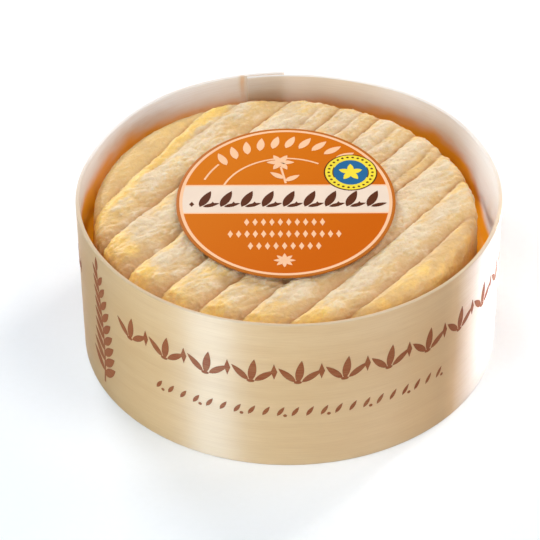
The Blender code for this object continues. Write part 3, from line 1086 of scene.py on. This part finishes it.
class CHEESEBOX_OT_add_cheese(bpy.types.Operator):
    """Add the cheese, turned smooth and then pressed into rolls, grooves and small folds"""

    bl_idname = "cheesebox.add_cheese"
    bl_label = "Add Cheese"

    def execute(self, context):
        cheese = turned_cheese()
        self.add_marks(cheese, *self.press(cheese, context.scene.cheese_box.rind))
        finish_piece(cheese, "cheese_rind", [rind_material()], ["cheese"], smooth_angle=80.0)
        return {"FINISHED"}

    def press(self, cheese, look):
        """Presses the relief into the smooth cheese, and returns what says where in it each point lies."""
        x, y, z = points_of(cheese).T
        radius = np.hypot(x, y)
        spread = 1.0 + swellings_at(np.degrees(np.arctan2(y, x)), SLUMP) * radius / CHEESE_RADIUS ** 2
        x, y = x * spread, y * spread
        radius = np.hypot(x, y)
        outward = np.maximum(radius - TOP_FLAT, 0.0)
        upward = np.maximum(z - (CREST - SHOULDER_RADIUS), 0.0)
        slant = np.maximum(np.hypot(outward, upward), 1e-6)
        steepness = np.where(z > CHEESE_BOTTOM + HEEL_RADIUS, outward / slant, 0.0)
        flatness = upward / slant

        turn = math.radians(RIDGE_DIRECTION)
        plan_x, plan_y = x + CHEESE_CENTRE[0], y + CHEESE_CENTRE[1]
        across = plan_x * math.sin(turn) - plan_y * math.cos(turn)
        along = plan_x * math.cos(turn) + plan_y * math.sin(turn)
        local = np.column_stack((along, across, z))
        across = across + look.wander / MM * swell(local, (13.0, 9.0, 30.0), 5)
        across += 0.3 * look.wander / MM * swell(local, (3.6, 3.0, 30.0), 7)
        depth, crease = groove_depths(across, along)
        phase, roll = roll_phase(across, along)

        crease *= np.clip(0.7 + 0.55 * swell(local, (5.0, 3.0, 30.0), 11), 0.15, 1.2)
        depth = depth * (1.0 + 0.25 * swell(local, (14.0, 5.0, 30.0), 9)) + CREASE_DEPTH * crease
        lumps = swell(local, (7.0, 4.5, 9.0), 13)
        slant_turn = ((FOLD_COS, -FOLD_SIN, 0.0), (FOLD_SIN, FOLD_COS, 0.0), (0.0, 0.0, 1.0))
        slanted = local @ np.array(slant_turn)
        folds = 2.0 * np.abs(swell(slanted, (4.6, 1.7, 3.0), 17, 3)) - 0.7
        pores = swell(local, (1.1, 0.9, 1.1), 21, 2)
        small = look.wrinkle / MM * (0.8 * folds + 0.45 * pores) + 0.35 * (lumps - 0.5)
        plain = np.where((roll == 0) | (across > LAST_ROLL), 1.0, 0.0)
        small *= 1.0 - 0.5 * plain

        depth *= 1.0 - FAR_END_LOSS * smoothstep(along, *FAR_END) * smoothstep(radius, *FAR_EDGE)
        pressed = depth * (SIDE_RELIEF + (1.0 - SIDE_RELIEF) * flatness) * smoothstep(z, *RELIEF_FADE)
        shown = np.maximum(flatness, steepness) * smoothstep(z, *FOLDS_FROM)
        shown *= 0.3 + 0.7 * smoothstep(radius, *CLEAR_OF_LABEL)
        move = -pressed + np.minimum(small * shown, HIGHEST_FOLD)
        inward = move * steepness / np.maximum(radius, 1.0)
        shaped = np.column_stack((x + x * inward, y + y * inward, z + move * flatness))
        set_points(cheese, shaped + (*CHEESE_CENTRE, 0.0))
        return local, radius, phase, roll, plain, crease, small

    def add_marks(self, cheese, local, radius, phase, roll, plain, crease, small):
        """Stores the grooves, painted shade, dust, gold, low side and folds of the rind, for its material."""
        along, _, z = local.T
        patch = swell(local, (8.0, 4.5, 9.0), 29)
        far = smoothstep(along, *FAR_ZONE)
        edge = smoothstep(radius, *TOP_EDGE)
        low = 1.0 - smoothstep(z, *ABOVE_SIDE)
        crest = hump(phase, *CREST_PHASE)
        near_flank = hump(phase, *NEAR_FLANK_PHASE)
        bright_crest = np.where(roll == 1, hump(phase, *BRIGHT_CREST_PHASE), 0.0)

        bloom = (1.0 - 0.7 * edge * (1.0 - 0.6 * far)) * (0.35 + 0.65 * crest) * (1.0 - 0.6 * plain)
        bloom += 0.12 * far
        bloom *= (1.0 - 0.5 * patch) * (1.0 - 0.6 * bright_crest)
        # Golden patches; on the near flank, which faces the lamps, the gold is partly painted light.
        gold = 0.35 * near_flank + 0.5 * patch * crest + 0.3 * edge * crest + 0.9 * bright_crest
        gold += 0.25 * smoothstep(-along, *NEAR_ZONE) * crest
        gold *= 1.0 - 0.5 * plain
        # Painted shade on the far flank of each roll, which is also bare of bloom, weaker at the far end. The
        # plain rolls get a darker tone of their own.
        shade = 0.45 * smoothstep(phase, *SHADE_PHASE) + 0.55 * smoothstep(phase, *DEEP_SHADE_PHASE)
        shade *= (1.0 - 0.6 * plain) * (0.95 + 0.2 * patch) * (1.15 - 0.65 * far)
        shade = np.maximum(shade, plain * (0.42 - 0.5 * patch))
        # The crease is partly moist rind and partly painted shade, stronger at the far end and weaker on the
        # side.
        groove = np.clip(crease * (0.8 + 0.5 * far) * (1.0 - 0.6 * low), 0.0, 0.95)
        add_attribute(cheese, "rind", np.column_stack((groove, shade, np.clip(bloom, 0.0, 1.3))))
        add_attribute(cheese, "bare", np.column_stack((np.clip(gold, 0.0, 1.3), low, small)))


class CHEESEBOX_OT_add_label(bpy.types.Operator):
    """Add the oval label with its rings, fields and band"""

    bl_idname = "cheesebox.add_label"
    bl_label = "Add Label"

    def execute(self, context):
        look = context.scene.cheese_box.label
        label = add_oval(LABEL_CENTRE, LABEL_HALF, LABEL_TOP, 144, (look.line, look.line))
        bpy.ops.object.mode_set(mode="EDIT")
        for offset in (LINE_TOP, BAND_TOP, BAND_FOOT, LINE_FOOT):
            select_faces(label, lambda face: len(face.vertices) > 4)
            line_y = (LABEL_CENTRE[1] + offset) * MM
            bpy.ops.mesh.bisect(plane_co=(0.0, line_y, 0.0), plane_no=(0.0, 1.0, 0.0))
        bpy.ops.object.mode_set(mode="OBJECT")
        for face in label.data.polygons:
            face.material_index = self.field_of(label.data, face, look.line / MM)
        apply_modifier(label, "SOLIDIFY", thickness=look.thickness, offset=-1.0)
        round_edges(label, 0.05 * MM, 2, 60)
        fields = [
            print_material("coated_paper_dark_edge", look.edge),
            print_material("coated_paper_peach", look.peach),
            print_material("coated_paper_orange", look.orange_light, look.orange_deep),
            print_material("coated_paper_cream", look.cream),
        ]
        finish_piece(label, "label_paper", fields, ["label"], smooth_angle=30.0)
        return {"FINISHED"}

    def field_of(self, mesh, face, line):
        """Which ink a face has: 0 edge, 1 peach, 2 orange, 3 cream."""
        x = face.center.x / MM - LABEL_CENTRE[0]
        y = face.center.y / MM - LABEL_CENTRE[1]
        if math.hypot(x / (LABEL_HALF[0] - line), y / (LABEL_HALF[1] - line)) > 1.0:
            return 0
        if math.hypot(x / (LABEL_HALF[0] - 2 * line), y / (LABEL_HALF[1] - 2 * line)) > 1.0:
            return 1
        if BAND_FOOT < y < BAND_TOP:
            return 3
        return 1 if LINE_FOOT < y < LINE_TOP else 2


class CHEESEBOX_OT_print_label(bpy.types.Operator):
    """Print plain leaves, lines and lozenges on the label"""

    bl_idname = "cheesebox.print_label"
    bl_label = "Print Label"

    def peach_ornaments(self):
        """A garland along the top, two thin arcs, a flower on its stem, and three short rows below."""
        garland = []
        for turn in np.linspace(42.0, 138.0, 11):
            bend = math.radians(turn)
            garland.append((19.0 * math.cos(bend), 20.9 * math.sin(bend), turn - 24.0, 1.0))
        shapes = set_out(leaf(5.2, 0.95), garland)
        shapes.append(oval_arc(15.6, 16.6, 60.0, 160.0, 0.24))
        shapes.append(oval_arc(20.6, 22.6, 141.0, 159.0, 0.24, steps=12))
        stem = np.column_stack((np.linspace(0.0, -1.2, 9), np.linspace(6.6, 13.2, 9)))
        shapes.append(add_stroke(stem, 0.26))
        petals = [(-1.3, 15.0, 60.0 * number, 1.0) for number in range(6)]
        shapes += set_out(leaf(3.3, 0.75, steps=6), petals, lift=0.006)
        stem_leaves = [(-0.2, 7.4, 35.0, 1.0), (-0.4, 8.4, 142.0, 1.0)]
        shapes += set_out(leaf(4.2, 0.8, steps=6), stem_leaves, lift=0.03)
        rows = []
        for y, count, pitch in ((-8.6, 10, 1.95), (-13.1, 14, 1.92), (-17.6, 9, 1.95)):
            rows += [((number - (count - 1) / 2) * pitch - 0.3, y, 90.0, 1.0) for number in range(count)]
        shapes += set_out(lozenge(2.7, 0.62), rows)
        rosette = [(-0.3, -22.9, 45.0 * number, 1.0) for number in range(8)]
        return shapes + set_out(leaf(2.5, 0.5, steps=5), rosette)

    def brown_ornaments(self):
        """A row of leaves leaning both ways, with lozenges between, on the cream band."""
        pitch = 4.9
        centres = [(number - 4.0) * pitch - 0.2 for number in range(9)]
        leaves = [(x - 0.3, -2.6, 68.0, 1.0) for x in centres]
        leaves += [(x + 0.5, -2.6, 20.0, 0.6) for x in centres]
        shapes = set_out(leaf(6.6, 1.05), leaves)
        return shapes + set_out(lozenge(1.9, 0.6), [(x - 2.2, -1.6, 90.0, 1.0) for x in centres])

    def execute(self, context):
        look = context.scene.cheese_box.label
        prints = (
            ("label_peach_print", self.peach_ornaments(), print_material("peach_ink", look.peach)),
            ("label_brown_print", self.brown_ornaments(), print_material("brown_ink", look.brown)),
        )
        for name, shapes, ink in prints:
            printed = join(shapes)
            set_points(printed, points_of(printed) + (*LABEL_CENTRE, LABEL_TOP + 0.005))
            finish_piece(printed, name, [ink])
        return {"FINISHED"}


class CHEESEBOX_OT_add_seal(bpy.types.Operator):
    """Add the small round seal with a plain flower"""

    bl_idname = "cheesebox.add_seal"
    bl_label = "Add Seal"

    def execute(self, context):
        look = context.scene.cheese_box.label
        centre = (LABEL_CENTRE[0] + SEAL_OFFSET[0], LABEL_CENTRE[1] + SEAL_OFFSET[1])
        on_seal = (*centre, LABEL_TOP + SEAL_INK_LIFT)
        rings = [width * MM for width in SEAL_RINGS]
        seal = add_oval(centre, SEAL_HALF, LABEL_TOP + SEAL_LIFT, 64, rings)
        for face in seal.data.polygons:
            x = face.center.x / MM - centre[0]
            y = face.center.y / MM - centre[1]
            share = math.hypot(x / SEAL_HALF[0], y / SEAL_HALF[1])
            # From the outside in: a brown line, the gold ring, a thin brown line and the blue middle.
            face.material_index = 0 if share > 0.95 else 1 if share > 0.67 else 0 if share > 0.5 else 2
        apply_modifier(seal, "SOLIDIFY", thickness=0.05 * MM, offset=-1.0)
        inks = [
            print_material("seal_brown_line", look.brown),
            print_material("seal_gold_ink", look.seal_gold),
            print_material("seal_blue_ink", look.seal_blue),
        ]
        finish_piece(seal, "label_seal", inks, smooth_angle=30.0)

        petals = [(0.0, 0.0, 90.0 + 72.0 * number, 1.0) for number in range(5)]
        flower = join(set_out(leaf(3.2, 0.85, steps=6), petals))
        set_points(flower, points_of(flower) * (0.9, 1.05, 1.0) + on_seal)
        gold_ink = print_material("seal_flower_ink", look.seal_gold)
        finish_piece(flower, "seal_flower", [gold_ink])
        turns = [math.tau * number / 26 for number in range(26)]
        ring = [(5.2 * math.cos(turn), 6.05 * math.sin(turn), 0.0, 1.0) for turn in turns]
        beads = join(set_out(dot(0.32, 0.32, steps=4), ring))
        set_points(beads, points_of(beads) + on_seal)
        finish_piece(beads, "seal_beads", [print_material("seal_bead_ink", look.brown)])
        return {"FINISHED"}


class CHEESEBOX_OT_add_stage(bpy.types.Operator):
    """Add the pale floor, the soft lights and the camera"""

    bl_idname = "cheesebox.add_stage"
    bl_label = "Add Stage"

    def add_light(
        self,
        name,
        round_angle,
        up_angle,
        distance,
        width,
        height,
        watts,
        tint,
        spread=FULL_SPREAD,
        aim=BOX_MIDDLE,
    ):
        """A rectangular light that shines at the box and isn't seen itself."""
        turn, tilt = math.radians(round_angle), math.radians(up_angle)
        away = Vector((math.cos(tilt) * math.sin(turn), -math.cos(tilt) * math.cos(turn), math.sin(tilt)))
        bpy.ops.object.light_add(type="AREA", location=away * distance + Vector(BOX_MIDDLE) * MM)
        light = bpy.context.object
        light.name = name
        light.visible_camera = False
        light.data.shape = "RECTANGLE"
        light.data.size = width
        light.data.size_y = height
        light.data.energy = watts * bpy.context.scene.cheese_box.studio.lights
        light.data.color = srgb(tint)
        light.data.spread = math.radians(spread)
        light.visible_glossy = spread == FULL_SPREAD
        light.rotation_euler = (Vector(aim) * MM - light.location).to_track_quat("-Z", "Y").to_euler()

    def execute(self, context):
        scene = context.scene
        floor = add_primitive(bpy.ops.mesh.primitive_grid_add, x_subdivisions=8, y_subdivisions=8, size=3.0)
        floor.name = "floor"
        floor.location.z = -0.05 * MM
        floor.data.materials.append(self.floor_material())

        world = bpy.data.worlds.new("pale_surround")
        world.use_nodes = True
        world.node_tree.nodes.clear()
        background = node(
            world.node_tree,
            "ShaderNodeBackground",
            {"Color": (1.0, 1.0, 1.0, 1.0), "Strength": scene.cheese_box.studio.surround},
        )
        node(world.node_tree, "ShaderNodeOutputWorld", {"Surface": background})
        scene.world = world

        for settings in LIGHTS:
            self.add_light(*settings)

        pitch = math.radians(CAMERA_PITCH)
        yaw = math.radians(CAMERA_YAW)
        roll = math.radians(CAMERA_ROLL)
        forward = Vector(
            (math.sin(yaw) * math.cos(pitch), math.cos(yaw) * math.cos(pitch), -math.sin(pitch))
        )
        level = forward.cross((0.0, 0.0, 1.0)).normalized()
        upright = level.cross(forward)
        right = math.cos(roll) * level + math.sin(roll) * upright
        up = math.cos(roll) * upright - math.sin(roll) * level
        turned = Matrix((right, up, -forward)).transposed()
        bpy.ops.object.camera_add(location=CAMERA_AT, rotation=turned.to_euler())
        camera = bpy.context.object
        camera.data.lens = CAMERA_LENS
        camera.data.sensor_width = 36.0
        camera.data.clip_start = 0.01
        scene.camera = camera
        scene.view_settings.view_transform = "Standard"
        return {"FINISHED"}

    def floor_material(self):
        """Matt white background paper, with a grain too faint to draw the eye."""
        material, tree = start_material("white_background_paper")
        place = node(tree, "ShaderNodeTexCoord").outputs["Object"]
        sized = node(tree, "ShaderNodeMapping", {"Vector": place, "Scale": noise_scale(1.5, 1.5, 1.5)})
        tooth = node(tree, "ShaderNodeTexNoise", {"Vector": sized, "Scale": 1.0, "Detail": 2.0})
        colour = node(
            tree,
            "ShaderNodeMix",
            {"Factor": tooth, "A": (*srgb("#f8f7f5"), 1.0), "B": (*srgb("#fbfaf9"), 1.0)},
            data_type="RGBA",
        )
        shader = node(
            tree, "ShaderNodeBsdfPrincipled", {"Base Color": colour, "Roughness": 0.9, "IOR": 1.45}
        )
        node(tree, "ShaderNodeOutputMaterial", {"Surface": shader})
        return material


STEPS = (
    CHEESEBOX_OT_add_wall,
    CHEESEBOX_OT_finish_base,
    CHEESEBOX_OT_print_wall,
    CHEESEBOX_OT_add_staples,
    CHEESEBOX_OT_add_cheese,
    CHEESEBOX_OT_add_label,
    CHEESEBOX_OT_print_label,
    CHEESEBOX_OT_add_seal,
    CHEESEBOX_OT_add_stage,
)


class CHEESEBOX_PT_panel(bpy.types.Panel):
    """The steps and settings of the cheese in its box"""

    bl_idname = "CHEESEBOX_PT_panel"
    bl_label = "Cheese Box"
    bl_space_type = "VIEW_3D"
    bl_region_type = "UI"
    bl_category = "Cheese Box"

    def draw(self, context):
        column = self.layout.column()
        for step in STEPS:
            column.operator(step.bl_idname)
        for part in ("veneer", "rind", "label", "studio"):
            group = getattr(context.scene.cheese_box, part)
            box = self.layout.box()
            box.label(text=part.title())
            for name in group.bl_rna.properties.keys():
                if name not in ("rna_type", "name"):
                    box.prop(group, name)


CLASSES = (
    VeneerSettings,
    RindSettings,
    LabelSettings,
    StudioSettings,
    CheeseBoxSettings,
    *STEPS,
    CHEESEBOX_PT_panel,
)


def register():
    for cls in CLASSES:
        bpy.utils.register_class(cls)
    bpy.types.Scene.cheese_box = PointerProperty(type=CheeseBoxSettings)


def unregister():
    del bpy.types.Scene.cheese_box
    for cls in reversed(CLASSES):
        bpy.utils.unregister_class(cls)


def main():
    register()
    bpy.ops.cheesebox.add_wall()
    bpy.ops.cheesebox.finish_base()
    bpy.ops.cheesebox.print_wall()
    bpy.ops.cheesebox.add_staples()
    bpy.ops.cheesebox.add_cheese()
    bpy.ops.cheesebox.add_label()
    bpy.ops.cheesebox.print_label()
    bpy.ops.cheesebox.add_seal()
    bpy.ops.cheesebox.add_stage()


if __name__ == "__main__":
    main()
